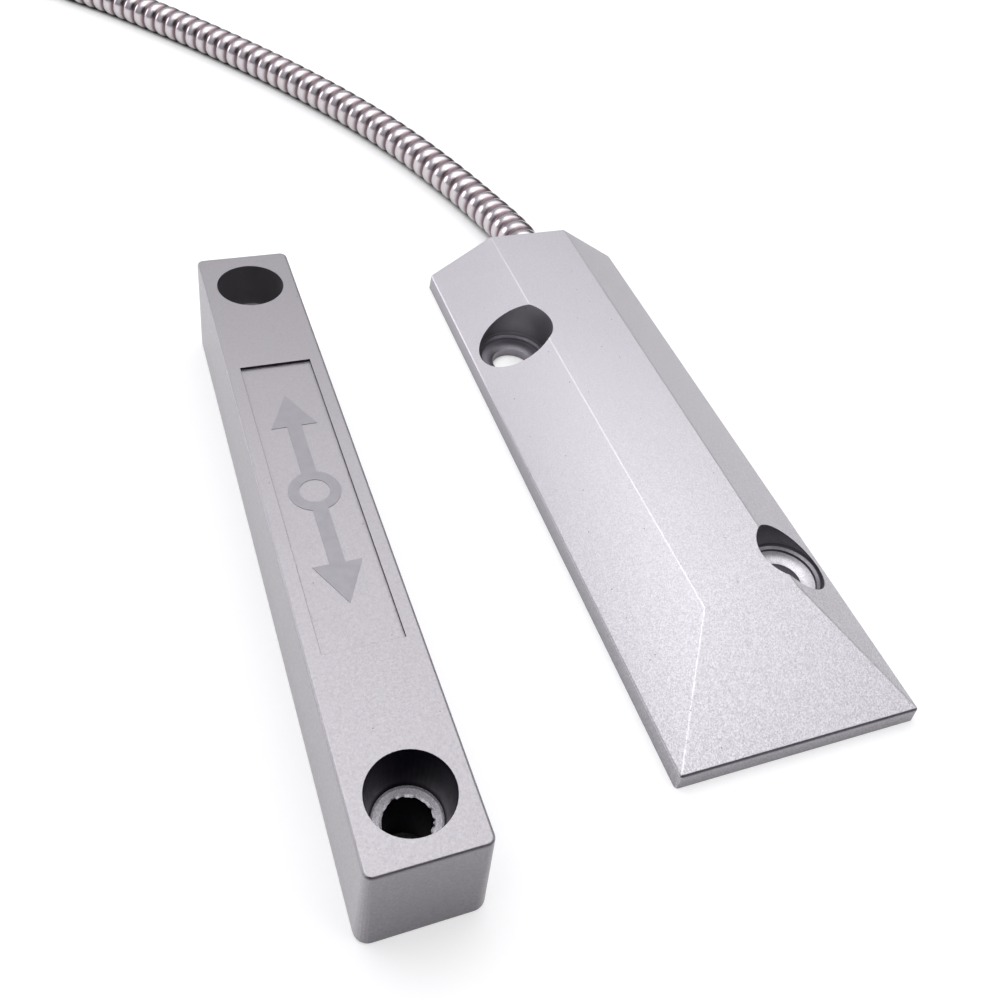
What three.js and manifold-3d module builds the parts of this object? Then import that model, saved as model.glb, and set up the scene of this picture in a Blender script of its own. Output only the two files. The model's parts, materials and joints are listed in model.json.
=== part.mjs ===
// Magnetic contact for a steel roll-up door: a die-cast switch unit with an armoured conduit, and the
// magnet bar that closes its reed. Millimetres, +Z up. The origin is the middle of the switch unit's
// mounting face, and +Y runs along both units, towards the conduit.
import * as THREE from "three";
import { ConvexGeometry } from "three/addons/geometries/ConvexGeometry.js";
import { mergeVertices } from "three/addons/utils/BufferGeometryUtils.js";
import Module from "manifold-3d";

const wasm = await Module();
wasm.setup();

// ---------------------------------------------------------------------------------------------------
// Driving dimensions

const GAP = 0.3; // clearance between pieces that are bedded or glued together in the real unit
const THROUGH = 1; // how far a cutter runs past the face that it opens

// Switch unit: a casting shaped like a hipped roof, its far end cut off square.
const SWITCH = {
  length: 107,
  width: 37, // at the top of the rim
  rim: 2.6, // height of the upright rim
  draft: 0.15, // how much the rim leans out towards the base, on each side
  height: 9.9,
  ridge: 7.4, // from the middle to each ridge
  hip: 19.1, // length of the sloping near end
  round: 0.5, // radius of the outer edges
  roof: 1.8, // thickness of the top
  wall: 2, // thickness of the sides
  nearWall: 3,
  farWall: 2.5,
};

// Magnet bar: a drafted block.
const BAR = {
  length: 107.1, // at the base
  width: 15.6,
  height: 16.4,
  draft: 0.65, // how much narrower the top is, on each side
  cornerBase: 1.8, // radius of the upright corners at the base
  cornerTop: 1.1,
  round: 0.4, // radius of the top edge
};

// Middle of the bar's mounting face: beside the switch unit, and a little further from the conduit.
const BAR_PLACE = { across: -54.2, along: -7.3 };

// Screw holes: their places, and the radii and heights of their profiles. The seat is the height of the
// face that the screw's head rests on.
const SWITCH_HOLE = {
  across: 11.3,
  along: 28,
  boss: 7.6,
  seat: 2.15,
  bore: 3.4,
  sink: 4.65, // widest radius of the countersink
  sinkDepth: 0.7,
  ledge: 5.3, // outer radius of the flat seat
  step: [[5.4, 0.35], [5.85, 0.6], [6, 1.1]], // [radius, height above the seat] up to the counterbore
  mouth: 6.05,
};
const BAR_HOLE = {
  along: 45,
  seat: 9.6,
  bore: 3.05,
  lip: 0.2, // chamfer around the bore
  foot: 4.25, // radius of the counterbore above the seat
  cornerWidth: 0.15, // chamfer between the seat and the counterbore
  cornerHeight: 0.25,
  mouth: 5.1,
};

const PANEL = { width: 10.2, length: 51.4, depth: 0.45 };
const MARK = { length: 38, shaft: 2, head: 6.4, ring: 3.5, hole: 2, height: 0.06 };
const BAR_POCKET = { width: 11, length: 75, roof: 2.4 };
const BAR_MAGNET = { width: 9.6, length: 35, height: 8, apart: 0.8 };
const POTTING = 1.2; // thickness of the resin skin, flush with the mounting face

// Conduit: where its axis leaves the far end, and how far the rod reaches inside.
const CONDUIT = { across: 1, axis: 5, radius: 3.5, sides: 10, inside: 9.5 };
const SOCKET = { width: 10.4, length: 7, bore: CONDUIT.radius + GAP };
// Points that the conduit lies through, from the mouth of its socket to where its coil begins.
const ROUTE = [
  [0.9, 58, 4.9],
  [0.3, 64, 4.3],
  [-1.1, 71, 3.7],
  [-3.3, 79, 3.5],
  [-6.1, 87, 3.5],
  [-9.6, 96, 3.5],
  [-13.9, 105.5, 3.5],
  [-19.4, 115.8, 3.5],
  [-25.5, 125.8, 3.5],
  [-32.0, 135.6, 3.5],
  [-39.1, 145.3, 3.5],
  [-46.8, 155.2, 3.5],
  [-55.3, 165.3, 3.5],
  [-64.0, 175.1, 3.5],
];
// The coil is one turn and a little more, so that its end lies on its own beginning: its middle, the
// radius of its turn, the angle where the conduit meets it, and the ring that it fills.
const COIL = { across: -62.2, along: 224.5, radius: 35, start: 222, halfWidth: 3.7, height: 14.3 };
// The conduit's free end points along +Y, beside the coil.
const END = { clear: 25, axis: 4.5, bush: 4.3, length: 9, hole: 2.1 };
const TAIL = { radius: 0.8, tip: 0.45, tipLength: 6 };
// The free cores, from the middle of the bush's outer face: out, down to the floor and round the coil.
const TAIL_A = [
  [-1, -2, 0],
  [-1.1, 2, -0.3],
  [-0.8, 8, -2.9],
  [1.6, 13.8, -3.7],
  [7, 18.2, -3.7],
  [14, 20.4, -3.7],
  [22, 20.8, -3.7],
];
const TAIL_B = [
  [1, -2, 0],
  [1.2, 2, -0.3],
  [2.6, 6.5, -2.3],
  [6.2, 10.8, -3.7],
  [12, 13.4, -3.7],
  [19, 14.7, -3.7],
  [26, 16.4, -3.7],
];

// Reed assembly
const BOARD = { across: -9, near: -25, far: 18, width: 6, bottom: 1.5, thickness: 1 };
const REED = {
  across: BOARD.across,
  axis: 4.2,
  near: -16, // ends of the glass
  far: 4,
  glass: 1.35,
  bore: 0.95,
  neck: 0.62, // bore of the glass where it grips a lead
  neckLength: 1.5,
  shoulder: 0.5, // length over which the bore widens behind the neck
  taper: 0.3, // how much the glass narrows at each end
  taperLength: 0.4,
  lead: 0.3,
  leadBend: 0.8, // height over which a lead turns down
  leadLean: 0.1, // how far it still leans at the end of that bend
  leadStandOff: 0.1, // how far above the board it ends
  bladeWidth: 1.1,
  blade: 0.25,
  contactGap: 0.05,
  overlap: 3,
  pivot: -13.6,
  tip: -4.5,
  rootInside: 1, // how far inside the neck the fixed blade begins
  rootLap: 0.6, // how far its lead reaches into it
};
const SOLDER = { height: 0.8, outer: 1.2, top: 0.75, hole: REED.lead + GAP };
const CORE = { radius: 0.65, pad: 15.5, apart: 3, spread: 0.9, straight: 39 };
const CORE_RISE = [0.3, 0.8, 4.6]; // from its pad across and along, and up to this height
// The middle line between the cores, from beside the pads to where they are in line with the conduit.
const CORE_WAY = [
  [-5.6, 18.6, 4.9],
  [-2.4, 23, 4.9],
  [-0.9, 28, 4.9],
  [0.2, 34, 5],
];
const BUSH = { length: 1.1, radius: 2.75, hole: 1.85 };

// How finely round things are divided: sides around a wire, and lengths along a bent bar.
const WIRE_SIDES = 8;
const TIP_SIDES = 12;
const LENGTHS = { lead: 14, core: 24, conduit: 12, tail: 14 };
const TURNS = { hole: 48, ring: 32, glass: 24, solder: 20, coil: 40, bush: 24, mark: 40 };
const WELD = 1e-4; // vertices closer than this are one

// Colours and finishes
const PAINT = { color: 0xc9c7cd, metalness: 0.7, roughness: 0.42 };
const STEEL = { color: 0xb9b4b6, metalness: 1, roughness: 0.3 };
const RESIN = { color: 0x17171a, metalness: 0, roughness: 0.4 };
const INK = { color: 0x8f8d94, metalness: 0, roughness: 0.7 };
const GLASS = { color: 0xa9c4b4, metalness: 0, roughness: 0.1, transparent: true, opacity: 0.4 };
const NICKEL_IRON = { color: 0xb0aca2, metalness: 1, roughness: 0.35 };
const LAMINATE = { color: 0x2f6b3c, metalness: 0, roughness: 0.5 };
const TIN = { color: 0xc4c6c9, metalness: 1, roughness: 0.25 };
const RED_PVC = { color: 0xa8231d, metalness: 0, roughness: 0.45 };
const BLACK_PVC = { color: 0x1c1c1e, metalness: 0, roughness: 0.45 };
const NYLON = { color: 0x2a2a2c, metalness: 0, roughness: 0.5 };
const FERRITE = { color: 0x3a3a3d, metalness: 0.1, roughness: 0.6 };

// ---------------------------------------------------------------------------------------------------
// Solids and booleans

function solid(geometry) {
  const bare = geometry.clone();
  bare.deleteAttribute("normal");
  bare.deleteAttribute("uv");
  const merged = mergeVertices(bare, WELD);
  return new wasm.Manifold(
    new wasm.Mesh({
      numProp: 3,
      vertProperties: new Float32Array(merged.attributes.position.array),
      triVerts: new Uint32Array(merged.index.array),
    }),
  );
}

function geometryOf(manifold) {
  const mesh = manifold.getMesh();
  const geometry = new THREE.BufferGeometry();
  const position = new Float32Array(mesh.numVert * 3);
  for (let i = 0; i < mesh.numVert; i += 1) {
    position.set(mesh.vertProperties.subarray(i * mesh.numProp, i * mesh.numProp + 3), i * 3);
  }
  geometry.setAttribute("position", new THREE.BufferAttribute(position, 3));
  geometry.setIndex(new THREE.BufferAttribute(mesh.triVerts, 1));
  geometry.computeVertexNormals();
  return geometry;
}

function join(geometries) {
  return geometries.map(solid).reduce((whole, piece) => whole.add(piece));
}

// A geometry with other geometries cut out of it.
function cut(geometry, cutters) {
  return geometryOf(solid(geometry).subtract(join(cutters)));
}

// A box from its lowest to its highest corner.
function box(low, high) {
  const size = high.map((value, i) => value - low[i]);
  const middle = high.map((value, i) => (value + low[i]) / 2);
  return new THREE.BoxGeometry(...size).translate(...middle);
}

// A solid turned about the upright axis from [radius, height] points that start and end on the axis.
function turned(profile, segments = TURNS.hole) {
  return new THREE.LatheGeometry(
    profile.map(([radius, height]) => new THREE.Vector2(radius, height)),
    segments,
  ).rotateX(Math.PI / 2);
}

// A ring turned about the upright axis from the [radius, height] corners of its section.
function ring(outline, segments = TURNS.ring) {
  return turned([...outline, outline[0]], segments);
}

// A plain washer-shaped ring that stands on height zero.
function collar(inner, outer, height, segments = TURNS.ring) {
  return ring([[inner, 0], [outer, 0], [outer, height], [inner, height]], segments);
}

function roundSection(radius, sides) {
  const section = new THREE.Shape();
  for (let i = 0; i < sides; i += 1) {
    const angle = (2 * Math.PI * i) / sides;
    section[i ? "lineTo" : "moveTo"](radius * Math.cos(angle), radius * Math.sin(angle));
  }
  section.closePath();
  return section;
}

// A round bar of the given radius that follows a smooth curve through the points.
function tube(points, radius, sides, steps) {
  const path = new THREE.CatmullRomCurve3(points.map((point) => new THREE.Vector3(...point)));
  return new THREE.ExtrudeGeometry(roundSection(radius, sides), { extrudePath: path, steps });
}

// ---------------------------------------------------------------------------------------------------
// Outer shapes

// Points on the upper half of a ball, so that a hull over several of them has rounded edges.
function dome([x, y, z], radius, step = Math.PI / 12) {
  const points = [new THREE.Vector3(x, y, z + radius)];
  for (let rise = 0; rise < Math.PI / 2 - step / 2; rise += step) {
    points.push(...circle([x, y, z + radius * Math.sin(rise)], radius * Math.cos(rise), step));
  }
  return points;
}

function circle([x, y, z], radius, step = Math.PI / 12) {
  const points = [];
  for (let angle = 0; angle < 2 * Math.PI - step / 2; angle += step) {
    points.push(new THREE.Vector3(x + radius * Math.cos(angle), y + radius * Math.sin(angle), z));
  }
  return points;
}

// The casting's outside: upright rim, two long slopes, a flat top between the ridges, one hipped end.
function roofOutside() {
  const { length, width, rim, draft, height, ridge, hip, round } = SWITCH;
  const lean = Math.atan2(height - rim, width / 2 - ridge);
  const far = length / 2 - round;
  const eaves = rim - round * (1 / Math.cos(lean) - Math.tan(lean));
  const points = [];
  for (const side of [-1, 1]) {
    const edge = side * (width / 2 - round);
    const foot = side * (width / 2 + draft - round);
    const crest = side * (ridge - round * Math.tan(lean / 2));
    points.push(...dome([edge, -far, eaves], round), ...dome([edge, far, eaves], round));
    points.push(...dome([crest, hip - length / 2, height - round], round));
    points.push(...dome([crest, far, height - round], round));
    points.push(...circle([foot, -far - draft, 0], round), ...circle([foot, far, 0], round));
  }
  return new ConvexGeometry(points);
}

// The hollow under it, which follows the roof at an even thickness.
function roofHollow() {
  const { length, width, rim, height, ridge, hip, roof, wall, nearWall, farWall } = SWITCH;
  const sideSlope = (height - rim) / (width / 2 - ridge);
  const hipSlope = (height - rim) / hip;
  const drop = (slope) => roof * Math.hypot(1, slope);
  const top = height - roof;
  const half = width / 2 - wall;
  const near = nearWall - length / 2;
  const far = length / 2 - farWall;
  const eaves = rim - drop(sideSlope) + sideSlope * wall;
  const crest = ridge - (drop(sideSlope) - roof) / sideSlope;
  const apex = hip - length / 2 + (drop(hipSlope) - roof) / hipSlope;
  const points = [];
  for (const side of [-1, 1]) {
    for (const z of [-THROUGH, eaves]) {
      points.push(new THREE.Vector3(side * half, near, z), new THREE.Vector3(side * half, far, z));
    }
    points.push(new THREE.Vector3(side * crest, apex, top), new THREE.Vector3(side * crest, far, top));
  }
  return new ConvexGeometry(points);
}

// A rectangle with round corners, as points at one height.
function roundedOutline(halfWidth, halfLength, radius, z, perCorner = 6) {
  const points = [];
  for (let corner = 0; corner < 4; corner += 1) {
    const x = (corner === 0 || corner === 3 ? 1 : -1) * (halfWidth - radius);
    const y = (corner < 2 ? 1 : -1) * (halfLength - radius);
    for (let i = 0; i <= perCorner; i += 1) {
      const angle = (Math.PI / 2) * (corner + i / perCorner);
      points.push([x + radius * Math.cos(angle), y + radius * Math.sin(angle), z]);
    }
  }
  return points;
}

// A closed solid through a stack of outlines that all have the same number of points.
function loft(outlines) {
  const count = outlines[0].length;
  const position = outlines.flat(2);
  const index = [];
  outlines.slice(1).forEach((_, level) => {
    for (let i = 0; i < count; i += 1) {
      const a = level * count + i;
      const b = level * count + ((i + 1) % count);
      index.push(a, b, b + count, a, b + count, a + count);
    }
  });
  const lastRow = (outlines.length - 1) * count;
  for (let i = 1; i < count - 1; i += 1) {
    index.push(0, i + 1, i, lastRow, lastRow + i, lastRow + i + 1);
  }
  const geometry = new THREE.BufferGeometry();
  geometry.setAttribute("position", new THREE.Float32BufferAttribute(position, 3));
  geometry.setIndex(index);
  return geometry;
}

function barOutside() {
  const { length, width, height, draft, cornerBase, cornerTop, round } = BAR;
  const outlines = [roundedOutline(width / 2, length / 2, cornerBase, 0)];
  const steps = 4;
  for (let i = 0; i <= steps; i += 1) {
    const angle = (Math.PI / 2) * (i / steps);
    const inset = draft + round * (1 - Math.cos(angle));
    const z = height - round * (1 - Math.sin(angle));
    const corner = cornerTop - round * (1 - Math.cos(angle));
    outlines.push(roundedOutline(width / 2 - inset, length / 2 - inset, corner, z));
  }
  return loft(outlines);
}

// ---------------------------------------------------------------------------------------------------
// Switch unit

const screwPlaces = [
  [-SWITCH_HOLE.across, SWITCH_HOLE.along],
  [SWITCH_HOLE.across, -SWITCH_HOLE.along],
];

function upright(radius, [x, y], bottom, top) {
  return turned([[0, bottom], [radius, bottom], [radius, top], [0, top]]).translate(x, y, 0);
}

// Bore, countersink, flat ledge, step and a nearly straight counterbore.
function switchHoleCutter([x, y]) {
  const { bore, seat, sink, sinkDepth, ledge, step, mouth } = SWITCH_HOLE;
  const above = SWITCH.height + THROUGH;
  return turned([
    [0, -THROUGH],
    [bore, -THROUGH],
    [bore, seat - sinkDepth],
    [sink, seat],
    [ledge, seat],
    ...step.map(([radius, rise]) => [radius, seat + rise]),
    [mouth, above],
    [0, above],
  ]).translate(x, y, 0);
}

function socketBlock() {
  const { width, length } = SOCKET;
  const far = SWITCH.length / 2 - SWITCH.farWall + THROUGH;
  const near = SWITCH.length / 2 - SWITCH.farWall - length;
  return box(
    [CONDUIT.across - width / 2, near, -2 * THROUGH],
    [CONDUIT.across + width / 2, far, SWITCH.height],
  );
}

// A bar along +Y, from one end to the other, about the conduit's axis.
function alongConduit(radius, near, far) {
  const bar = new THREE.CylinderGeometry(radius, radius, far - near, TURNS.ring);
  return bar.translate(CONDUIT.across, (near + far) / 2, CONDUIT.axis);
}

function switchHousing() {
  const bosses = screwPlaces.map((place) =>
    upright(SWITCH_HOLE.boss, place, -2 * THROUGH, SWITCH.height),
  );
  const hollow = cut(roofHollow(), [...bosses, socketBlock()]);
  const end = SWITCH.length / 2;
  const mouth = alongConduit(SOCKET.bore, end - SWITCH.farWall - SOCKET.length - THROUGH, end + THROUGH);
  return cut(roofOutside(), [hollow, mouth, ...screwPlaces.map(switchHoleCutter)]);
}

function switchPotting() {
  const half = SWITCH.width / 2 - SWITCH.wall - GAP;
  const near = SWITCH.nearWall - SWITCH.length / 2 + GAP;
  const far = SWITCH.length / 2 - SWITCH.farWall - GAP;
  const slab = box([-half, near, 0], [half, far, POTTING]);
  const bosses = screwPlaces.map((place) => upright(SWITCH_HOLE.boss + GAP, place, -THROUGH, 2 * POTTING));
  const socket = box(
    [CONDUIT.across - SOCKET.width / 2 - GAP, far + GAP - SOCKET.length - GAP, -THROUGH],
    [CONDUIT.across + SOCKET.width / 2 + GAP, far + THROUGH, 2 * POTTING],
  );
  return cut(slab, [...bosses, socket]);
}

const boardTop = BOARD.bottom + BOARD.thickness;

function reedBoard() {
  return box(
    [BOARD.across - BOARD.width / 2, BOARD.near, BOARD.bottom],
    [BOARD.across + BOARD.width / 2, BOARD.far, boardTop],
  );
}

// Glass tube whose bore narrows at both ends, where it grips the leads.
function reedCapsule() {
  const { near, far, glass, bore, neck, neckLength, shoulder, taper, taperLength } = REED;
  const length = far - near;
  return ring(
    [
      [neck, 0],
      [glass - taper, 0],
      [glass, taperLength],
      [glass, length - taperLength],
      [glass - taper, length],
      [neck, length],
      [neck, length - neckLength],
      [bore, length - neckLength - shoulder],
      [bore, neckLength + shoulder],
      [neck, neckLength],
    ],
    TURNS.glass,
  ).rotateX(-Math.PI / 2).translate(REED.across, near, REED.axis);
}

// A round lead that runs along the reed's axis and turns down into its solder joint.
function reedLead(from, to) {
  const way = Math.sign(to - from);
  const { across, axis, lead, leadBend: bend, leadLean: lean, leadStandOff } = REED;
  const foot = boardTop + leadStandOff;
  return tube(
    [
      [across, from, axis],
      [across, (from + to - way * bend) / 2, axis],
      [across, to - way * bend, axis],
      [across, to - way * lean, axis - bend],
      [across, to, foot],
    ],
    lead,
    WIRE_SIDES,
    LENGTHS.lead,
  );
}

const padFixed = 10.5; // where the fixed side's lead meets the board
const padMoving = -22.5;

function reedBladeFixed() {
  const { across, axis, bladeWidth, blade, contactGap, overlap, tip } = REED;
  const low = axis + contactGap;
  const root = REED.far - REED.neckLength - REED.rootInside;
  const flat = box(
    [across - bladeWidth / 2, tip - overlap, low],
    [across + bladeWidth / 2, root, low + blade],
  );
  return geometryOf(join([flat, reedLead(root - REED.rootLap, padFixed)]));
}

function reedBladeMoving() {
  const { across, axis, bladeWidth, blade, pivot, tip } = REED;
  return box([across - bladeWidth / 2, pivot, axis - blade], [across + bladeWidth / 2, tip, axis]);
}

function solderJoint(across, along) {
  const { height, outer, top, hole } = SOLDER;
  const joint = ring([[hole, 0], [outer, 0], [top, height], [hole, height]], TURNS.solder);
  return joint.translate(across, along, boardTop);
}

const corePads = [-1, 1].map((side) => BOARD.across + (side * CORE.apart) / 2);

// Each insulated core leaves its pad, passes beside the far screw boss and enters the conduit's bush.
function core(side) {
  const pad = corePads[side < 0 ? 0 : 1];
  const mouth = SWITCH.length / 2 - CONDUIT.inside - GAP - BUSH.length / 2;
  const shift = side * CORE.spread;
  const [aside, ahead, lift] = CORE_RISE;
  return tube(
    [
      [pad, CORE.pad, boardTop + SOLDER.height + GAP],
      [pad + aside, CORE.pad + ahead, lift],
      ...CORE_WAY.map(([across, along, up]) => [across + shift, along, up]),
      [CONDUIT.across + shift, CORE.straight, CONDUIT.axis],
      [CONDUIT.across + shift, mouth, CONDUIT.axis],
    ],
    CORE.radius,
    WIRE_SIDES,
    LENGTHS.core,
  );
}

// Turns an upright ring so that it lies along +Y, starting at the given place.
function laid(geometry, [x, y, z]) {
  return geometry.rotateX(-Math.PI / 2).translate(x, y, z);
}

function innerBush() {
  const near = SWITCH.length / 2 - CONDUIT.inside - GAP - BUSH.length;
  return laid(collar(BUSH.hole, BUSH.radius, BUSH.length), [CONDUIT.across, near, CONDUIT.axis]);
}

// ---------------------------------------------------------------------------------------------------
// Conduit outside the housing

const coilStart = THREE.MathUtils.degToRad(COIL.start);

// The conduit runs straight into the coil, and its rod stops where it would enter the coil's ring.
function conduitRun() {
  const { across, axis, radius, sides, inside } = CONDUIT;
  const exit = SWITCH.length / 2;
  const reach = COIL.radius + COIL.halfWidth + radius + GAP;
  const back = Math.sqrt(reach ** 2 - COIL.radius ** 2);
  const [cos, sin] = [Math.cos(coilStart), Math.sin(coilStart)];
  const last = [
    COIL.across + COIL.radius * cos - back * sin,
    COIL.along + COIL.radius * sin + back * cos,
    radius,
  ];
  const first = [exit - inside, exit - inside / 2, exit].map((along) => [across, along, axis]);
  return tube([...first, ...ROUTE, last], radius, sides, LENGTHS.conduit);
}

function coilRing() {
  const { across, along, radius, halfWidth, height } = COIL;
  const [inner, outer] = [radius - halfWidth, radius + halfWidth];
  const bevel = 1.5;
  return ring(
    [
      [inner, bevel],
      [inner + bevel, 0],
      [outer - bevel, 0],
      [outer, bevel],
      [outer, height - bevel],
      [outer - bevel, height],
      [inner + bevel, height],
      [inner, height - bevel],
    ],
    TURNS.coil,
  ).translate(across, along, 0);
}

const endPlace = [COIL.across - COIL.radius, COIL.along + END.clear, END.axis];

function outerBush() {
  return laid(collar(END.hole, END.bush, END.length, TURNS.bush), endPlace);
}

function placed([across, along, up]) {
  return new THREE.Vector3(endPlace[0] + across, endPlace[1] + END.length + along, endPlace[2] + up);
}

function tail(points) {
  const places = points.map((point) => placed(point).toArray());
  return tube(places, TAIL.radius, WIRE_SIDES, LENGTHS.tail);
}

// The stripped end of a free core goes straight on from it.
function tip(points) {
  const [before, last] = points.slice(-2).map(placed);
  const ahead = last.clone().sub(before).normalize();
  const from = last.clone().addScaledVector(ahead, GAP);
  const to = from.clone().addScaledVector(ahead, TAIL.tipLength);
  return new THREE.ExtrudeGeometry(roundSection(TAIL.tip, TIP_SIDES), {
    extrudePath: new THREE.LineCurve3(from, to),
    steps: 1,
  });
}

// ---------------------------------------------------------------------------------------------------
// Magnet bar

const barScrews = [[0, BAR_HOLE.along], [0, -BAR_HOLE.along]];

// Bore with a chamfered lip, flat seat, and a counterbore that opens towards the top.
function barHoleCutter([x, y]) {
  const { bore, lip, seat, foot, cornerWidth, cornerHeight, mouth } = BAR_HOLE;
  const rise = BAR.height - seat;
  return turned([
    [0, -THROUGH],
    [bore, -THROUGH],
    [bore, seat - lip],
    [bore + lip, seat],
    [foot - cornerWidth, seat],
    [foot, seat + cornerHeight],
    [mouth, BAR.height],
    [mouth + (THROUGH * (mouth - foot)) / rise, BAR.height + THROUGH],
    [0, BAR.height + THROUGH],
  ]).translate(x, y, 0);
}

function barHousing() {
  const { width, length, roof } = BAR_POCKET;
  const pocket = box([-width / 2, -length / 2, -THROUGH], [width / 2, length / 2, BAR.height - roof]);
  const panel = box(
    [-PANEL.width / 2, -PANEL.length / 2, BAR.height - PANEL.depth],
    [PANEL.width / 2, PANEL.length / 2, BAR.height + THROUGH],
  );
  return cut(barOutside(), [pocket, panel, ...barScrews.map(barHoleCutter)]);
}

const magnetTop = BAR.height - BAR_POCKET.roof - GAP;

function blockMagnet(side) {
  const { width, length, height, apart } = BAR_MAGNET;
  const inner = apart / 2;
  const ends = side < 0 ? [-inner - length, -inner] : [inner, inner + length];
  return box([-width / 2, ends[0], magnetTop - height], [width / 2, ends[1], magnetTop]);
}

function barPotting() {
  const half = BAR_POCKET.width / 2 - GAP;
  const end = BAR_POCKET.length / 2 - GAP;
  return box([-half, -end, 0], [half, end, magnetTop - BAR_MAGNET.height - GAP]);
}

// Alignment mark in the panel: a ring between two arrows that point along the bar.
function panelMark() {
  const { length, shaft, head, ring: outer, hole, height } = MARK;
  const floor = BAR.height - PANEL.depth;
  const pieces = [collar(hole, outer, height, TURNS.mark)];
  for (const way of [-1, 1]) {
    const arrow = new THREE.Shape();
    const neck = way * (length / 2 - head);
    const root = way * ((outer + hole) / 2);
    arrow.moveTo(-shaft / 2, root);
    arrow.lineTo(-shaft / 2, neck);
    arrow.lineTo(-head / 2, neck);
    arrow.lineTo(0, (way * length) / 2);
    arrow.lineTo(head / 2, neck);
    arrow.lineTo(shaft / 2, neck);
    arrow.lineTo(shaft / 2, root);
    arrow.closePath();
    pieces.push(new THREE.ExtrudeGeometry(arrow, { depth: height, bevelEnabled: false }));
  }
  return geometryOf(join(pieces)).translate(0, 0, floor);
}

// ---------------------------------------------------------------------------------------------------
// Assembly

function piece(name, geometry, finish) {
  const mesh = new THREE.Mesh(geometry, new THREE.MeshStandardMaterial(finish));
  mesh.name = name;
  return mesh;
}

function switchUnit() {
  const unit = new THREE.Group();
  unit.add(
    piece("switch_housing", switchHousing(), PAINT),
    piece("switch_potting", switchPotting(), RESIN),
    piece("reed_board", reedBoard(), LAMINATE),
    piece("reed_capsule", reedCapsule(), GLASS),
    piece("reed_blade_fixed", reedBladeFixed(), NICKEL_IRON),
    piece("reed_blade_moving", reedBladeMoving(), NICKEL_IRON),
    piece("reed_lead_root", reedLead(REED.pivot - GAP, padMoving), NICKEL_IRON),
    piece("solder_reed_fixed", solderJoint(REED.across, padFixed), TIN),
    piece("solder_reed_moving", solderJoint(REED.across, padMoving), TIN),
    piece("solder_core_a", solderJoint(corePads[0], CORE.pad), TIN),
    piece("solder_core_b", solderJoint(corePads[1], CORE.pad), TIN),
    piece("core_a", core(-1), RED_PVC),
    piece("core_b", core(1), BLACK_PVC),
    piece("conduit_bush_inner", innerBush(), NYLON),
    piece("conduit_run", conduitRun(), STEEL),
    piece("conduit_coil", coilRing(), STEEL),
    piece("conduit_bush_outer", outerBush(), NYLON),
    piece("tail_a", tail(TAIL_A), RED_PVC),
    piece("tail_b", tail(TAIL_B), BLACK_PVC),
    piece("tip_a", tip(TAIL_A), TIN),
    piece("tip_b", tip(TAIL_B), TIN),
  );
  return unit;
}

function magnetUnit() {
  const unit = new THREE.Group();
  unit.add(
    piece("magnet_housing", barHousing(), PAINT),
    piece("bar_magnet_near", blockMagnet(-1), FERRITE),
    piece("bar_magnet_far", blockMagnet(1), FERRITE),
    piece("magnet_potting", barPotting(), RESIN),
    piece("panel_mark", panelMark(), INK),
  );
  return unit;
}

function assembly() {
  const part = new THREE.Group();
  const bar = magnetUnit();
  bar.position.set(BAR_PLACE.across, BAR_PLACE.along, 0);
  part.add(switchUnit(), bar);
  return part;
}

export default assembly();
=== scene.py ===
"""Looks of a magnetic door contact: two silver-painted castings and an armoured conduit, in metres."""

import json
import math
import random

import bmesh
import bpy
import numpy as np
from mathutils import Matrix, Vector


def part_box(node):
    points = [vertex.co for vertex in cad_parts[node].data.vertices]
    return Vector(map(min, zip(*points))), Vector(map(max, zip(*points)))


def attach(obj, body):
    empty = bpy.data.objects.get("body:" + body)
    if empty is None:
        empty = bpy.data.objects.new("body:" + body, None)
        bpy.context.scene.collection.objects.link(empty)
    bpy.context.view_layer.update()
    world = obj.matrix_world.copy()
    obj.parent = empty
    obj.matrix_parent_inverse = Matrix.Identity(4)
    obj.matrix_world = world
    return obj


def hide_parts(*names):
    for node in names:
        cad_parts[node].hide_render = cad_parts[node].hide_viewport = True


MM = 0.001

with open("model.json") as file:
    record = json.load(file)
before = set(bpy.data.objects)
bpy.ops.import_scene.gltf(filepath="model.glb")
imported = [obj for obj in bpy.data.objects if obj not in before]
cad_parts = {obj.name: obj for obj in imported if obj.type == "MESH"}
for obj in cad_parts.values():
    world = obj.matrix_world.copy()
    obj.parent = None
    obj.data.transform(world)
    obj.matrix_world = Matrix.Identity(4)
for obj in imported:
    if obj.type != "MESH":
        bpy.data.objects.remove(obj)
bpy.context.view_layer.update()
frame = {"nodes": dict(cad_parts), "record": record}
NODES = frame["nodes"]


# ---------------------------------------------------------------------------------------------------
# Camera

CAMERA = {
    "place": (-74.36, -99.90, 119.06),  # mm
    "heading": 27.17,  # degrees from +Y towards +X
    "down": 47.08,  # degrees below the horizon
    "roll": -10.21,
    "lens": 37.49,
    "sensor": 36.0,
    "nearest": 5,  # mm
}


def make_camera():
    heading, down, roll = (math.radians(CAMERA[k]) for k in ("heading", "down", "roll"))
    forward = Vector((
        math.sin(heading) * math.cos(down),
        math.cos(heading) * math.cos(down),
        -math.sin(down),
    ))
    level_right = forward.cross(Vector((0, 0, 1))).normalized()
    level_down = forward.cross(level_right)
    right = math.cos(roll) * level_right + math.sin(roll) * level_down
    under = -math.sin(roll) * level_right + math.cos(roll) * level_down
    data = bpy.data.cameras.new("camera")
    data.lens = CAMERA["lens"]
    data.sensor_width = CAMERA["sensor"]
    data.clip_start = CAMERA["nearest"] * MM
    camera = bpy.data.objects.new("camera", data)
    bpy.context.scene.collection.objects.link(camera)
    rotation = Matrix((right, -under, -forward)).transposed().to_4x4()
    camera.matrix_world = Matrix.Translation(Vector(CAMERA["place"]) * MM) @ rotation
    bpy.context.scene.camera = camera


# ---------------------------------------------------------------------------------------------------
# Meshes

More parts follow.
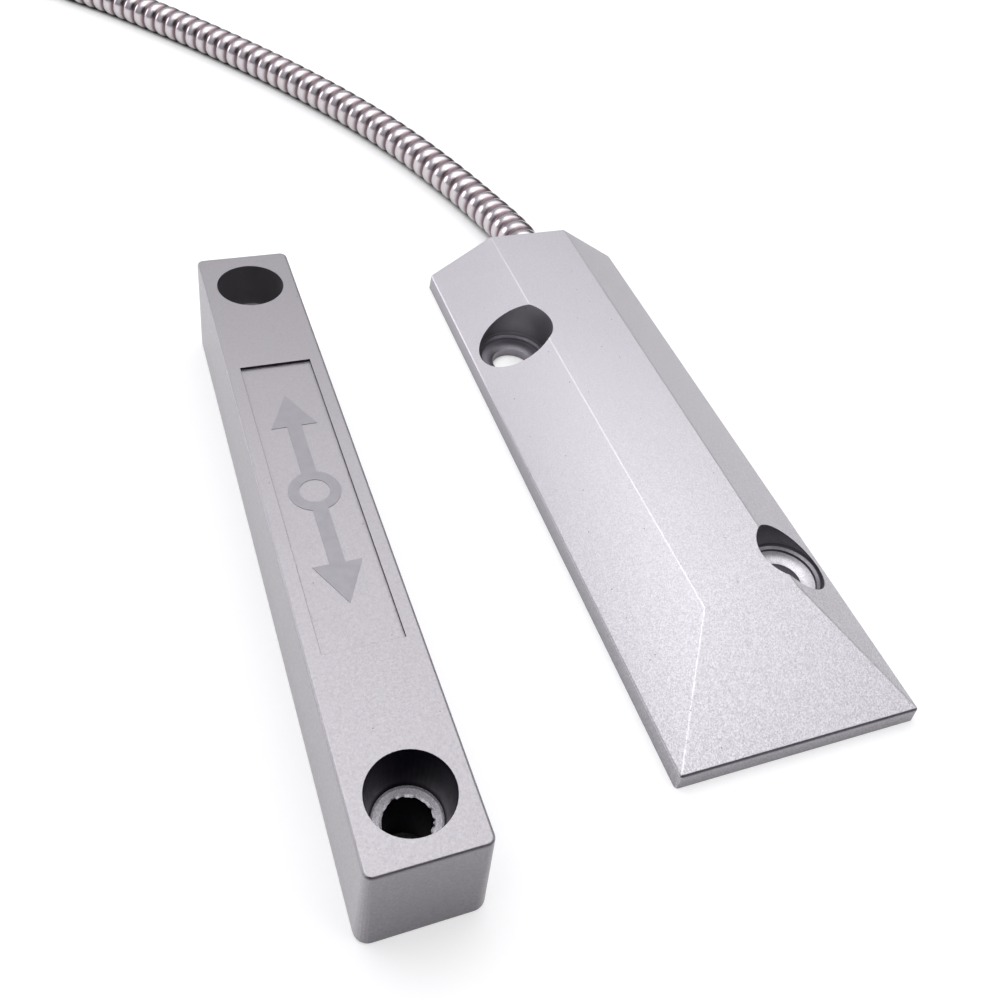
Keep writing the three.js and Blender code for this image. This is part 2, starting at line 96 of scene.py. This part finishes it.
def new_piece(name, vertices, faces, body, smooth=True):
    mesh = bpy.data.meshes.new(name)
    mesh.from_pydata([tuple(v) for v in vertices], [], faces)
    if smooth:
        mesh.shade_smooth()
    piece = bpy.data.objects.new(name, mesh)
    bpy.context.scene.collection.objects.link(piece)
    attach(piece, body)
    return piece


def smooth_path(points, step):
    """Points a step apart on a smooth curve through the given ones, with the curve's directions."""
    points = np.array(points, float)
    knots = np.r_[0, np.cumsum(np.linalg.norm(np.diff(points, axis=0), axis=1))]
    slopes = np.gradient(points, knots, axis=0)
    places = np.linspace(0, knots[-1], int(knots[-1] / step) + 1)
    spans = np.clip(np.searchsorted(knots, places, side="right") - 1, 0, len(knots) - 2)
    width = (knots[spans + 1] - knots[spans])[:, None]
    t = ((places - knots[spans])[:, None]) / width
    start, end = points[spans], points[spans + 1]
    leave, arrive = slopes[spans] * width, slopes[spans + 1] * width
    line = (
        (2 * t**3 - 3 * t**2 + 1) * start
        + (t**3 - 2 * t**2 + t) * leave
        + (-2 * t**3 + 3 * t**2) * end
        + (t**3 - t**2) * arrive
    )
    heading = np.gradient(line, axis=0)
    return line, heading / np.linalg.norm(heading, axis=1)[:, None]


def sweep(line, heading, sides, radius):
    """Vertices and faces of a closed tube. radius(place along it, angle round it) gives its surface."""
    across = np.cross(heading[0], (0, 0, 1))
    angles = np.linspace(0, 2 * math.pi, sides, endpoint=False)
    along = np.r_[0, np.cumsum(np.linalg.norm(np.diff(line, axis=0), axis=1))]
    rings = []
    for place, centre, ahead in zip(along, line, heading):
        across = across - ahead * (across @ ahead)
        across /= np.linalg.norm(across)
        over = np.cross(across, ahead)
        reach = radius(place, angles)[:, None]
        rings.append(centre + reach * (np.cos(angles)[:, None] * across + np.sin(angles)[:, None] * over))
    vertices = np.concatenate(rings)
    faces = []
    for i in range(len(rings) - 1):
        for j in range(sides):
            a, b = i * sides + j, i * sides + (j + 1) % sides
            faces.append((a, a + sides, b + sides, b))
    faces.append(tuple(range(sides)))
    faces.append(tuple(reversed(range(len(vertices) - sides, len(vertices)))))
    return vertices, faces


# ---------------------------------------------------------------------------------------------------
# Conduit and free cores

CONDUIT = {
    "exit": (1.0, 53.5, 5.0),
    "inside": 9.5,
    "length": 0.45,
    "radius": 3.5,
    "pitch": 3.2,
    "groove": 0.65,  # mm deep
    "flat": 2.2,  # powers that shape a rib: how flat its crest is, and how full its flanks
    "full": 0.6,
    "sides": 36,
    "rows": 12,  # per pitch
}
ROUTE = [
    (0.9, 58, 4.9),
    (0.3, 64, 4.3),
    (-1.1, 71, 3.7),
    (-3.3, 79, 3.5),
    (-6.1, 87, 3.5),
    (-9.6, 96, 3.5),
    (-13.9, 105.5, 3.5),
    (-19.4, 115.8, 3.5),
    (-25.5, 125.8, 3.5),
    (-32.0, 135.6, 3.5),
    (-39.1, 145.3, 3.5),
    (-46.8, 155.2, 3.5),
    (-55.3, 165.3, 3.5),
    (-64.0, 175.1, 3.5),
]
COIL = {"middle": (-62.2, 224.5), "radius": 35, "start": 222, "turn": 402, "points": 24, "lead_in": (24, 12)}
RISE = {"from": 270, "over": 80, "by": 7.1}  # degrees of turn and mm, where the coil climbs over itself
RUN_OUT = ((8, 10.2), (16, 8.0), (24.7, 4.6))  # mm past the coil's end, and height


def coil_point(turned):
    """The point after so many degrees of the coil's clockwise turn."""
    angle = math.radians(COIL["start"] - turned)
    share = min(max((turned - RISE["from"]) / RISE["over"], 0), 1)
    climb = RISE["by"] * share * share * (3 - 2 * share)
    x, y = COIL["middle"]
    return (
        x + COIL["radius"] * math.cos(angle),
        y + COIL["radius"] * math.sin(angle),
        CONDUIT["radius"] + climb,
    )


def straight_on(point, turned, distance, height):
    """The point so far ahead of a point of the coil, in the direction that the conduit has there."""
    angle = math.radians(COIL["start"] - turned)
    return (
        point[0] + distance * math.sin(angle),
        point[1] - distance * math.cos(angle),
        height,
    )


def conduit_points():
    x, y, z = CONDUIT["exit"]
    points = [(x, y - CONDUIT["inside"], z), (x, y - CONDUIT["inside"] / 2, z), CONDUIT["exit"], *ROUTE]
    for distance in COIL["lead_in"]:
        points.append(straight_on(coil_point(0), 0, -distance, CONDUIT["radius"]))
    for i in range(COIL["points"] + 1):
        points.append(coil_point(COIL["turn"] * i / COIL["points"]))
    end = points[-1]
    for distance, height in RUN_OUT:
        points.append(straight_on(end, COIL["turn"], distance, height))
    return [tuple(c * MM for c in p) for p in points]


def strip_wound(place, angles):
    """Radius of a conduit wound from one profiled strip: full round ribs with narrow helical grooves."""
    turns = place / (CONDUIT["pitch"] * MM) - angles / (2 * math.pi)
    off_crest = np.abs(2 * (turns % 1) - 1)
    rib = (1 - off_crest ** CONDUIT["flat"]) ** CONDUIT["full"]
    return (CONDUIT["radius"] - CONDUIT["groove"] * (1 - rib)) * MM


def conduit_line():
    return smooth_path(conduit_points(), CONDUIT["pitch"] * MM / CONDUIT["rows"])


def make_conduit():
    line, heading = conduit_line()
    vertices, faces = sweep(line, heading, CONDUIT["sides"], strip_wound)
    conduit = new_piece("armoured_conduit", vertices, faces, "switch")
    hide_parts("conduit_run", "conduit_coil")
    return conduit


TAIL = {"radius": 0.8, "sides": 16, "step": 0.5}
# The free cores, in mm from the middle of the bush's outer face: out, down to the floor, round the coil.
TAILS = {
    "tail_a": (
        (-1, -2, 0),
        (-1.1, 2, -0.3),
        (-0.8, 8, -2.9),
        (1.6, 13.8, -3.7),
        (7, 18.2, -3.7),
        (14, 20.4, -3.7),
        (22, 20.8, -3.7),
    ),
    "tail_b": (
        (1, -2, 0),
        (1.2, 2, -0.3),
        (2.6, 6.5, -2.3),
        (6.2, 10.8, -3.7),
        (12, 13.4, -3.7),
        (19, 14.7, -3.7),
        (26, 16.4, -3.7),
    ),
}


def make_tail(node):
    """A free insulated core with its own smooth sleeve."""
    low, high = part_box("conduit_bush_outer")
    mouth = Vector(((low.x + high.x) / 2, high.y, (low.z + high.z) / 2))
    points = [mouth + Vector(p) * MM for p in TAILS[node]]
    radius = TAIL["radius"] * MM
    line, heading = smooth_path(points, TAIL["step"] * MM)
    vertices, faces = sweep(line, heading, TAIL["sides"], lambda place, angles: np.full(len(angles), radius))
    tail = new_piece(node + "_sleeve", vertices, faces, "switch")
    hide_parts(node)
    return tail


make_camera()
conduit = make_conduit()
tails = [make_tail("tail_a"), make_tail("tail_b")]


# ---------------------------------------------------------------------------------------------------
# Castings

RIM = 0.12
SHARP = 32  # degrees between two faces, from which their edge is a rim
RIDGE = {"round": 0.8, "least": 8, "shortest": 3}  # mm, degrees, mm
OUTLINE = 1.1  # mm from the side of a casting's box, within which an edge belongs to its outline
OUTLINE_RIM = {"switch": 0.15, "magnet": 0.45}  # mm
SAME_PLACE = 0.002  # mm between vertices that are one
SAME_PLANE = 0.6  # degrees between faces that are one
HARD = 50  # degrees, from which an edge is shaded sharp
FACE_WEIGHT = 80  # how far large faces lead the shading of their edges


def round_over(bm, edges, offset):
    bmesh.ops.bevel(
        bm, geom=edges, offset=offset * MM, offset_type="OFFSET", segments=3, profile=0.5,
        affect="EDGES", clamp_overlap=True,
    )


def edges_between(bm, least, most=180):
    """Edges whose two faces differ in direction by an angle between these, in degrees."""
    least, most = math.radians(least), math.radians(most)
    return [e for e in bm.edges if e.is_manifold and least < e.calc_face_angle() <= most]


def on_outline(edge, low, high):
    middle = (edge.verts[0].co + edge.verts[1].co) / 2
    return any(min(middle[i] - low[i], high[i] - middle[i]) < OUTLINE * MM for i in (0, 1))


def refined(node, name, body, outline_rim):
    """A copy of a CAD node's surface with clean faces and every rim and ridge rounded over."""
    low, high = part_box(node)
    bm = bmesh.new()
    bm.from_mesh(NODES[node].data)
    bmesh.ops.remove_doubles(bm, verts=bm.verts, dist=SAME_PLACE * MM)
    bmesh.ops.dissolve_limit(bm, angle_limit=math.radians(SAME_PLANE), verts=bm.verts, edges=bm.edges)
    ridges = [
        e for e in edges_between(bm, RIDGE["least"], SHARP)
        if e.calc_length() > RIDGE["shortest"] * MM and not on_outline(e, low, high)
    ]
    round_over(bm, ridges, RIDGE["round"])
    outline = [e for e in edges_between(bm, SHARP) if on_outline(e, low, high)]
    round_over(bm, outline, outline_rim)
    round_over(bm, [e for e in edges_between(bm, SHARP) if not on_outline(e, low, high)], RIM)
    mesh = bpy.data.meshes.new(name)
    bm.to_mesh(mesh)
    bm.free()
    mesh.shade_smooth()
    mesh.set_sharp_from_angle(angle=math.radians(HARD))
    piece = bpy.data.objects.new(name, mesh)
    bpy.context.scene.collection.objects.link(piece)
    weighted = piece.modifiers.new("weighted_normals", "WEIGHTED_NORMAL")
    weighted.keep_sharp = True
    weighted.weight = FACE_WEIGHT
    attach(piece, body)
    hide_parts(node)
    return piece


# How much painted shade darkens the paint of a screw hole. Pairs are the values at the top and at the bottom
# of a face, and "across" is how much less painted shade a hole's wall has at its bottom to the left and
# right.
HOLE_PAINTED_SHADE = {
    "switch_counterbore_far": {"wall": (0.54, 0.72), "across": 0, "seat": 0.72, "step": 0.84},
    "switch_counterbore_near": {"wall": (0.90, 0.76), "across": 0, "seat": 0.1, "step": 0.62},
    "magnet_counterbore_far": {"wall": (0.36, 0.30), "across": 0, "seat": 0.2, "step": 0.2},
    "magnet_counterbore_near": {"wall": (1.0, 0.96), "across": 0.6, "seat": 0, "step": 0},
}
# Painted shade on the near and left sides of each casting, at the top and at the bottom, and on its near
# rims.
SWITCH_PAINTED_SHADE = {"left": (0.42, 0.5), "near": (0.5, 0.62), "rim": 0.8}
MAGNET_PAINTED_SHADE = {"left": (0, 0), "near": (0.36, 0.62), "rim": 0.5}
# Painted shade on the walls of the magnet's sunk panel.
PANEL_WALL_PAINTED_SHADE = 0.93
WALL_REACH = 6.3  # mm from a hole's axis
SEAT_DEPTH = 5  # mm below the casting's top, from which an upward face in a hole is its seat
STEP_FROM = 5.25  # mm from a hole's axis, where the step round its seat begins
# How steep a face is, as the upward part of its normal: an upright side is below the first, a rim is
# between the first and the second, and a flat face is above the third.
UPRIGHT, RIM_SLOPE, FLAT = 0.3, 0.9, 0.95
NEAR_RIM = -0.4  # a near rim's normal points towards -Y by more than this
FACING = 0.5  # a hole's wall faces its axis by more than this
RIM_AREA = 12  # mm2: a rim's faces are smaller than this, a roof's are larger


def screw_axes():
    """Each screw hole's axis, with the painted shade of the hole."""
    for opening in frame["record"]["physics"]["openings"]:
        if opening["name"] in HOLE_PAINTED_SHADE:
            low, high = (Vector(corner) for corner in opening["box_m"])
            yield Vector(((low.x + high.x) / 2, (low.y + high.y) / 2, 0)), HOLE_PAINTED_SHADE[opening["name"]]


def painted_shade_of_side(face, sides):
    """How much painted shade an outer side has at its top and bottom, or the rim above it."""
    out = face.normal
    if abs(out.z) < UPRIGHT:
        near, left = max(0, -out.y) ** 2, out.x**2
        return tuple(max(near * sides["near"][i], left * sides["left"][i]) for i in (0, 1))
    if UPRIGHT <= out.z < RIM_SLOPE and out.y < NEAR_RIM and face.area < RIM_AREA * MM**2:
        return sides["rim"], sides["rim"]
    return 0, 0


# Painted shade of a face at its top and bottom: in a screw hole, on a panel wall, or on an outer side.
def painted_shade_of_face(face, sides, axes, top, panel):
    for axis, hole in axes:
        out = Vector((face.center.x - axis.x, face.center.y - axis.y, 0))
        if 0 < out.length < WALL_REACH * MM and -face.normal.dot(out.normalized()) > FACING:
            at_top, at_bottom = hole["wall"]
            return at_top, at_bottom - hole["across"] * out.normalized().x ** 2
        if out.length < WALL_REACH * MM and face.center.z < top - SEAT_DEPTH * MM:
            part = "step" if out.length > STEP_FROM * MM else "seat"
            return hole[part], hole[part]
    if panel is not None and all(abs(face.center[i] - panel[0][i]) < panel[1][i] for i in range(3)):
        return (PANEL_WALL_PAINTED_SHADE, PANEL_WALL_PAINTED_SHADE) if abs(face.normal.z) < FLAT else (0, 0)
    return painted_shade_of_side(face, sides)


def store_painted_shade(piece, sides, panel=None):
    """Stores how much painted shade darkens each corner of each face."""
    mesh = piece.data
    axes = list(screw_axes())
    top = max(vertex.co.z for vertex in mesh.vertices)
    values = []
    for face in mesh.polygons:
        at_top, at_bottom = painted_shade_of_face(face, sides, axes, top, panel)
        heights = [mesh.vertices[v].co.z for v in face.vertices]
        low, span = min(heights), max(max(heights) - min(heights), 0.01 * MM)
        values += [at_bottom + (at_top - at_bottom) * (height - low) / span for height in heights]
    layer = mesh.attributes.new("painted_shade", "FLOAT", "CORNER")
    layer.data.foreach_set("value", values)


PANEL = {"width": 10.2, "length": 51.4, "depth": 0.45}
PANEL_MARGIN = (0.2, 0.2, 0.01)  # mm past the panel's walls and floor


def panel_space():
    """Middle and half size of the space around the walls of the magnet's sunk panel."""
    low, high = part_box("magnet_housing")
    middle = Vector(((low.x + high.x) / 2, (low.y + high.y) / 2, high.z - PANEL["depth"] / 2 * MM))
    size = Vector((PANEL["width"], PANEL["length"], PANEL["depth"]))
    return middle, (size / 2 + Vector(PANEL_MARGIN)) * MM


switch_casting = refined("switch_housing", "switch_casting", "switch", OUTLINE_RIM["switch"])
magnet_casting = refined("magnet_housing", "magnet_casting", "magnet", OUTLINE_RIM["magnet"])
store_painted_shade(switch_casting, SWITCH_PAINTED_SHADE)
store_painted_shade(magnet_casting, MAGNET_PAINTED_SHADE, panel_space())

# The seat of the magnet's near screw hole: a ragged skin of metal round the bore, a burr round the edge.
SEAT = {
    "height": 9.6,
    "outside": 4.24,
    "burr": 0.4,
    "burr_width": 0.34,
    "skin": 0.16,
    "lift": 0.03,  # over the cast seat
    "points": 224,
}
BORE_EDGE = {"cast": 3.15, "radius": 2.92, "ragged": 0.24, "lumps": 56, "seed": 11}
# Painted shade on the seat's skin; the burr gets none.
SEAT_PAINTED_SHADE = 0.42


def ragged_edge(count):
    """Radius of the bore's torn edge at so many places round it."""
    chance = random.Random(BORE_EDGE["seed"])
    lumps = [chance.random() ** 2 - 0.35 for _ in range(BORE_EDGE["lumps"])]
    places = np.arange(count) * len(lumps) / count
    depth = np.interp(places, range(len(lumps) + 1), lumps + lumps[:1])
    return BORE_EDGE["radius"] + BORE_EDGE["ragged"] * depth


def seat_profile():
    """Distances from the axis, None at the ragged edge, with heights over the seat."""
    outside, width, skin, lift = (SEAT[k] for k in ("outside", "burr_width", "skin", "lift"))
    return (
        (outside, lift),
        (outside - width / 2, SEAT["burr"]),
        (outside - width, lift),
        (BORE_EDGE["cast"], lift),
        (None, -skin / 2),
        (None, -skin),
        (outside, -2 * skin),
    )


def make_seat():
    axis = next(a for a, hole in screw_axes() if hole is HOLE_PAINTED_SHADE["magnet_counterbore_near"])
    count = SEAT["points"]
    edge = ragged_edge(count)
    profile = seat_profile()
    vertices = []
    for reach, height in profile:
        for i in range(count):
            angle = 2 * math.pi * i / count
            radius = edge[i] if reach is None else reach
            vertices.append((
                axis.x + radius * math.cos(angle) * MM,
                axis.y + radius * math.sin(angle) * MM,
                (SEAT["height"] + height) * MM,
            ))
    faces = []
    for ring in range(len(profile)):
        after = (ring + 1) % len(profile)
        for i in range(count):
            j = (i + 1) % count
            faces.append((ring * count + i, ring * count + j, after * count + j, after * count + i))
    piece = new_piece("magnet_seat", vertices, faces, "magnet", smooth=False)
    # Painted shade: none on the burr, the seat's share on all other faces.
    burr_faces = 2 * count
    values = [0.0] * burr_faces + [SEAT_PAINTED_SHADE] * (len(faces) - burr_faces)
    piece.data.attributes.new("painted_shade", "FLOAT", "FACE").data.foreach_set("value", values)
    return piece


seat = make_seat()


# ---------------------------------------------------------------------------------------------------
# Materials

class Paint:
    """A material under construction: a Principled shader and the nodes that drive it."""

    def __init__(self, name, color, **settings):
        self.material = bpy.data.materials.new(name)
        self.material.use_nodes = True
        self.tree = self.material.node_tree
        self.shader = self.tree.nodes["Principled BSDF"]
        self.shader.inputs["Base Color"].default_value = (*color, 1)
        for socket, value in settings.items():
            self.shader.inputs[socket.replace("_", " ")].default_value = value
        self.where = self.tree.nodes.new("ShaderNodeTexCoord").outputs["Object"]

    def link(self, source, target):
        self.tree.links.new(source, target)

    def noise(self, size, detail=3, roughness=0.5):
        """Noise whose features are about the given size in mm."""
        node = self.tree.nodes.new("ShaderNodeTexNoise")
        node.inputs["Scale"].default_value = 1 / (size * MM)
        node.inputs["Detail"].default_value = detail
        node.inputs["Roughness"].default_value = roughness
        self.link(self.where, node.inputs["Vector"])
        return node.outputs["Fac"]

    def attribute(self, name):
        node = self.tree.nodes.new("ShaderNodeAttribute")
        node.attribute_name = name
        return node.outputs["Fac"]

    def cells(self, size):
        node = self.tree.nodes.new("ShaderNodeTexVoronoi")
        node.inputs["Scale"].default_value = 1 / (size * MM)
        self.link(self.where, node.inputs["Vector"])
        return node

    def remap(self, value, low, high, to_low, to_high):
        node = self.tree.nodes.new("ShaderNodeMapRange")
        node.inputs["From Min"].default_value = low
        node.inputs["From Max"].default_value = high
        node.inputs["To Min"].default_value = to_low
        node.inputs["To Max"].default_value = to_high
        self.link(value, node.inputs["Value"])
        return node.outputs["Result"]

    def math(self, operation, a, b):
        node = self.tree.nodes.new("ShaderNodeMath")
        node.operation = operation
        for socket, value in zip(node.inputs, (a, b)):
            if isinstance(value, (int, float)):
                socket.default_value = value
            else:
                self.link(value, socket)
        return node.outputs["Value"]

    def mix(self, share, first, second):
        node = self.tree.nodes.new("ShaderNodeMix")
        node.data_type = "RGBA"
        self.link(share, node.inputs["Factor"])
        for socket, value in ((node.inputs[6], first), (node.inputs[7], second)):
            if isinstance(value, tuple):
                socket.default_value = (*value, 1)
            else:
                self.link(value, socket)
        return node.outputs[2]

    def bump(self, height, depth, under=None):
        """Adds relief so many mm deep, over relief that is already there."""
        node = self.tree.nodes.new("ShaderNodeBump")
        node.inputs["Strength"].default_value = 1
        node.inputs["Distance"].default_value = depth * MM
        self.link(height, node.inputs["Height"])
        if under is not None:
            self.link(under, node.inputs["Normal"])
        self.link(node.outputs["Normal"], self.shader.inputs["Normal"])
        return node.outputs["Normal"]

    def color(self, value):
        self.link(value, self.shader.inputs["Base Color"])

    def roughness(self, value):
        self.link(value, self.shader.inputs["Roughness"])


# The dark colour that painted shade mixes into the castings' paint.
PAINTED_SHADE_COLOR = (0.014, 0.009, 0.024)
SPECK = {"color": (0.2, 0.19, 0.22), "apart": 2.4, "share": 0.04}
GRAIN = {"ends": (-60, 10), "flake": 0.14, "relief": 0.13, "depth": 0.035}  # ends and sizes in mm
WAVES = {"size": 14, "depth": 0.05}


def casting_paint(name, dark, light, grain):
    """Silver metallic paint. The two grains are the strength of its flakes at GRAIN's ends along Y."""
    paint = Paint(name, light, Metallic=0.8, Specular_IOR_Level=0.35)
    split = paint.tree.nodes.new("ShaderNodeSeparateXYZ")
    paint.link(paint.where, split.inputs["Vector"])
    near, far = GRAIN["ends"]
    strength = paint.remap(split.outputs["Y"], near * MM, far * MM, *grain)
    flake = paint.cells(GRAIN["flake"])
    uneven = paint.math("MULTIPLY", paint.math("SUBTRACT", flake.outputs["Color"], 0.5), strength)
    tone = paint.mix(paint.math("ADD", uneven, 0.5), dark, light)
    speck = paint.cells(SPECK["apart"])
    chosen = paint.math("LESS_THAN", speck.outputs["Distance"], SPECK["share"])
    tone = paint.mix(chosen, tone, SPECK["color"])
    # Painted shade: darker where the stored value is higher, in holes, on near and left sides, on rims and
    # panel walls.
    tone = paint.mix(paint.attribute("painted_shade"), tone, PAINTED_SHADE_COLOR)
    paint.color(tone)
    paint.roughness(paint.remap(paint.noise(0.35, 2), 0.3, 0.7, 0.34, 0.48))
    waves = paint.bump(paint.noise(WAVES["size"], 1), WAVES["depth"])
    relief = paint.math("MULTIPLY", paint.noise(GRAIN["relief"], 2, 0.6), strength)
    paint.bump(relief, GRAIN["depth"], waves)
    return paint.material


def conduit_steel():
    """Bright strip steel: smooth crests, dull grooves darkened by painted shade, faint drawing lines."""
    paint = Paint("conduit_steel", (0.62, 0.59, 0.6), Metallic=1.0)
    depth = paint.attribute("groove")
    # Painted shade: the deeper in a groove, the darker the steel.
    paint.color(paint.mix(paint.remap(depth, 0.05, 0.5, 0, 1), (0.60, 0.56, 0.58), (0.20, 0.15, 0.16)))
    paint.roughness(paint.remap(depth, 0.1, 0.9, 0.22, 0.5))
    paint.bump(paint.noise(0.5, 2), 0.01)
    return paint.material


def plain(name, color, grain=0.3, depth=0.01, low=0.35, high=0.5, **settings):
    """A smooth moulded or drawn surface with a little uneven gloss."""
    paint = Paint(name, color, **settings)
    paint.roughness(paint.remap(paint.noise(grain * 4, 2), 0.3, 0.7, low, high))
    paint.bump(paint.noise(grain, 2), depth)
    return paint.material


def give(material, *pieces):
    for piece in pieces:
        piece.data.materials.clear()
        piece.data.materials.append(material)


def mark_grooves(piece):
    """Stores how deep in a groove each vertex of the conduit lies."""
    line, _ = conduit_line()
    along = np.r_[0, np.cumsum(np.linalg.norm(np.diff(line, axis=0), axis=1))]
    angles = np.linspace(0, 2 * math.pi, CONDUIT["sides"], endpoint=False)
    bottom = CONDUIT["radius"] - CONDUIT["groove"]
    depth = [1 - (strip_wound(place, angles) / MM - bottom) / CONDUIT["groove"] for place in along]
    layer = piece.data.attributes.new("groove", "FLOAT", "POINT")
    layer.data.foreach_set("value", np.concatenate(depth).astype(np.float32))


give(casting_paint("switch_paint", (0.41, 0.395, 0.42), (0.83, 0.81, 0.85), (1.0, 0.2)), switch_casting)
give(casting_paint("magnet_paint", (0.25, 0.24, 0.255), (0.505, 0.485, 0.51), (0.3, 0.15)), magnet_casting)
give(casting_paint("bare_casting", (0.5, 0.48, 0.51), (0.98, 0.96, 1.0), (1.0, 1.0)), seat)
mark_grooves(conduit)
give(conduit_steel(), conduit)
resin = plain("black_resin", (0.014, 0.014, 0.016), 3, 0.05, 0.25, 0.4)
give(resin, NODES["switch_potting"], NODES["magnet_potting"])
give(plain("green_laminate", (0.02, 0.13, 0.05), 0.6, 0.01), NODES["reed_board"])
glass = plain("reed_glass", (0.75, 0.9, 0.82), 0.5, 0.002, 0.03, 0.08, Transmission_Weight=1.0)
give(glass, NODES["reed_capsule"])
nickel = plain("nickel_iron", (0.55, 0.53, 0.48), 0.1, 0.003, 0.25, 0.4, Metallic=1.0)
give(nickel, NODES["reed_blade_fixed"], NODES["reed_blade_moving"], NODES["reed_lead_root"])
tin = plain("solder", (0.7, 0.7, 0.72), 0.3, 0.01, 0.18, 0.35, Metallic=1.0)
give(tin, *(NODES[n] for n in sorted(NODES) if n.startswith(("solder_", "tip_"))))
red = plain("red_insulation", (0.42, 0.02, 0.015), 0.3, 0.004)
give(red, NODES["core_a"], tails[0])
black = plain("black_insulation", (0.012, 0.012, 0.013), 0.3, 0.004)
give(black, NODES["core_b"], tails[1])
nylon = plain("black_nylon", (0.02, 0.02, 0.022), 0.25, 0.01, 0.45, 0.6)
give(nylon, NODES["conduit_bush_inner"], NODES["conduit_bush_outer"])
give(plain("dark_magnet", (0.07, 0.07, 0.075), 0.2, 0.01, 0.4, 0.6, Metallic=0.3),
     NODES["bar_magnet_near"], NODES["bar_magnet_far"])
give(plain("grey_ink", (0.335, 0.325, 0.35), 0.3, 0.01, 0.5, 0.6, Metallic=0.6), NODES["panel_mark"])


# ---------------------------------------------------------------------------------------------------
# Studio

FLOOR = {"size": 6, "color": (0.6, 0.6, 0.605), "glow": 0.47}
OPEN_SKY = {"reach": 12, "dark": 0.12, "lit": 0.36}  # mm, and the shares of open sky that are dark and lit


def make_floor():
    """White paper that glows a little, so that shadows on it stay faint, and painted black at the bottom of
    holes.
    """
    bpy.ops.mesh.primitive_plane_add(size=FLOOR["size"])
    floor = bpy.context.active_object
    floor.name = "floor"
    paint = Paint("floor", FLOOR["color"], Roughness=0.8, Emission_Strength=FLOOR["glow"])
    open_sky = paint.tree.nodes.new("ShaderNodeAmbientOcclusion")
    open_sky.inputs["Distance"].default_value = OPEN_SKY["reach"] * MM
    # Painted shade: colour and glow go black where little open sky is near, as at the bottom of holes.
    lit = paint.remap(open_sky.outputs["AO"], OPEN_SKY["dark"], OPEN_SKY["lit"], 0, 1)
    paint.color(paint.mix(lit, (0, 0, 0), FLOOR["color"]))
    paint.link(paint.mix(lit, (0, 0, 0), (1, 1, 1)), paint.shader.inputs["Emission Color"])
    paint.bump(paint.noise(3, 2), 0.02)
    give(paint.material, floor)


# Where a light hangs and what it aims at, its two sizes, all in metres, and its watts.
LIGHTS = {
    "overhead": {"place": (0.05, 0.22, 1.1), "aim": (0.0, 0.0, 0), "size": (1.3, 1.5), "watts": 8.2},
    "key": {"place": (-0.50, 0.36, 1.0), "aim": (0.0, 0.0, 0), "size": (0.75, 0.75), "watts": 1.7},
    "fill": {"place": (0.50, -0.50, 0.92), "aim": (0.0, -0.05, 0), "size": (0.4, 0.4), "watts": 0.85},
}


def make_light(name, place, aim, size, watts):
    data = bpy.data.lights.new(name, "AREA")
    data.shape = "RECTANGLE"
    data.size, data.size_y = size
    data.energy = watts
    light = bpy.data.objects.new(name, data)
    bpy.context.scene.collection.objects.link(light)
    light.location = place
    light.rotation_mode = "QUATERNION"
    light.rotation_quaternion = (Vector(aim) - Vector(place)).to_track_quat("-Z", "Y")


# Parts of the room: a direction, the cosines where its effect starts and is full, and its brightness.
ROOM = (
    {"name": "window", "towards": (-0.74, 0.65, 0.10), "from": 0.93, "full": 0.985, "light": 9},
    {"name": "front", "towards": (-0.15, -0.85, 0.50), "from": 0.60, "full": 0.86, "light": 0.03},
    {"name": "right", "towards": (0.84, 0.54, 0.06), "from": 0.75, "full": 0.94, "light": 0.08},
    {"name": "back", "towards": (0.25, 0.80, 0.55), "from": 0.85, "full": 0.97, "light": 1.1},
)
ROOM_LIGHT = 0.85
ROOM_COLORS = ((0.30, 0.29, 0.315, 1), (0.97, 0.96, 1.0, 1))  # level and below, and straight up


def make_world():
    """A pale room: brightest straight up, a window at the back left, dark behind the camera."""
    world = bpy.data.worlds.new("studio")
    bpy.context.scene.world = world
    world.use_nodes = True
    tree = world.node_tree
    direction = tree.nodes.new("ShaderNodeTexCoord").outputs["Generated"]
    split = tree.nodes.new("ShaderNodeSeparateXYZ")
    tree.links.new(direction, split.inputs["Vector"])
    ramp = tree.nodes.new("ShaderNodeValToRGB")
    for stop, color in zip(ramp.color_ramp.elements, ROOM_COLORS):
        stop.color = color
    tree.links.new(split.outputs["Z"], ramp.inputs["Fac"])
    background = tree.nodes["Background"]
    tree.links.new(ramp.outputs["Color"], background.inputs["Color"])
    strength = None
    for part in ROOM:
        facing = tree.nodes.new("ShaderNodeVectorMath")
        facing.operation = "DOT_PRODUCT"
        facing.inputs[1].default_value = Vector(part["towards"]).normalized()
        tree.links.new(direction, facing.inputs[0])
        amount = tree.nodes.new("ShaderNodeMapRange")
        amount.name = part["name"]
        amount.interpolation_type = "SMOOTHSTEP"
        amount.inputs["From Min"].default_value = part["from"]
        amount.inputs["From Max"].default_value = part["full"]
        amount.inputs["To Min"].default_value = 1
        amount.inputs["To Max"].default_value = part["light"]
        tree.links.new(facing.outputs["Value"], amount.inputs["Value"])
        product = tree.nodes.new("ShaderNodeMath")
        product.operation = "MULTIPLY"
        product.inputs[0].default_value = ROOM_LIGHT
        if strength is not None:
            tree.links.new(strength, product.inputs[0])
        tree.links.new(amount.outputs["Result"], product.inputs[1])
        strength = product.outputs["Value"]
    tree.links.new(strength, background.inputs["Strength"])


make_floor()
for light_name, light in LIGHTS.items():
    make_light(light_name, **light)
make_world()
bpy.context.scene.view_settings.view_transform = "Standard"
